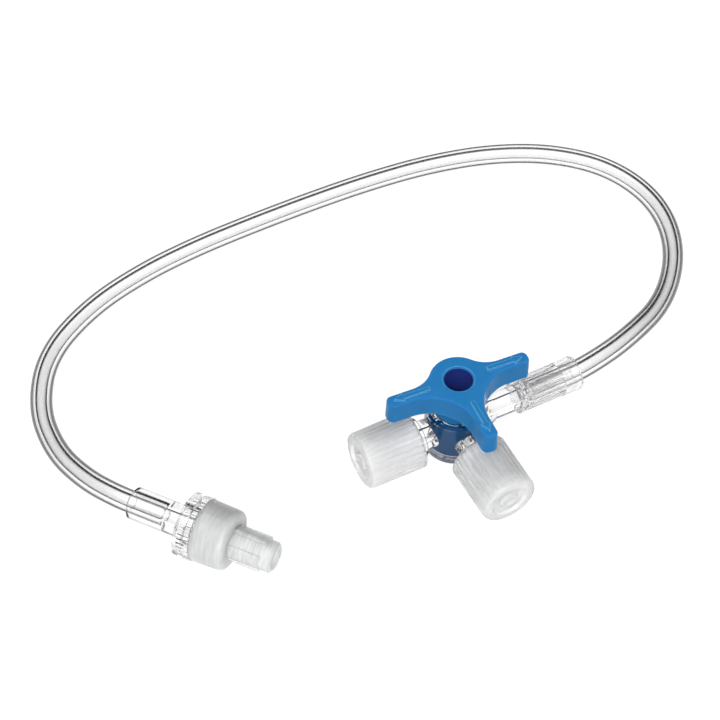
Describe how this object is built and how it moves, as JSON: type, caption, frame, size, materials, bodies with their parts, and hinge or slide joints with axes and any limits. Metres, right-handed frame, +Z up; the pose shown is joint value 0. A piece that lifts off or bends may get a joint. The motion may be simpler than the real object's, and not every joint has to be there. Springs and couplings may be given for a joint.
{
  "type": "three way stopcock with extension line",
  "caption": "Three way stopcock with a blue handle, capped luer ports and a clear extension hose that ends in a male luer lock with a push-on protector.",
  "frame": {"origin": "on the base plane, under the tap's axis", "axes": "+Z up along the tap's axis, +X along the two ports in line, from the left capped port to the outlet and the hose, and -Y along the front capped port"},
  "size_m": [0.1369, 0.0872, 0.0183],
  "materials": {
    "clear_plastic": "clear, polished moulding",
    "blue_plastic": "glossy, slightly translucent blue moulding",
    "milky_plastic": "milky translucent moulding",
    "hose_plastic": "clear, soft extruded tube",
    "frosted_plastic": "frosted translucent moulding"
  },
  "bodies": {
    "valve": {"valve_body": "clear_plastic", "hose": "hose_plastic", "luer_connector": "clear_plastic"},
    "tap": {"tap": "blue_plastic"},
    "left_cap": {"left_port_cap": "milky_plastic"},
    "front_cap": {"front_port_cap": "milky_plastic"},
    "collar": {"swivel_collar": "clear_plastic"},
    "nut": {"lock_nut": "clear_plastic"},
    "protector": {"luer_protector": "frosted_plastic"}
  },
  "joints": [
    {"name": "tap_turn", "type": "hinge", "parent": "valve", "child": "tap", "pos_m": [0, 0, 0.012], "axis": [0, 0, 1], "continuous": true},
    {"name": "left_cap_off", "type": "slide", "parent": "valve", "child": "left_cap", "axis": [-1, 0, 0], "range_m": [0, 0.015]},
    {"name": "front_cap_off", "type": "slide", "parent": "valve", "child": "front_cap", "axis": [0, -1, 0], "range_m": [0, 0.015]},
    {"name": "collar_swivel", "type": "hinge", "parent": "valve", "child": "collar", "pos_m": [0.019, 0, 0.00544], "axis": [1, 0, 0], "continuous": true},
    {"name": "nut_turn", "type": "hinge", "parent": "valve", "child": "nut", "pos_m": [-0.04964, -0.00148, 0.00579], "axis": [0.6218, -0.7832, 0], "continuous": true},
    {"name": "protector_off", "type": "slide", "parent": "nut", "child": "protector", "axis": [0.6218, -0.7832, 0], "range_m": [0, 0.015]}
  ]
}
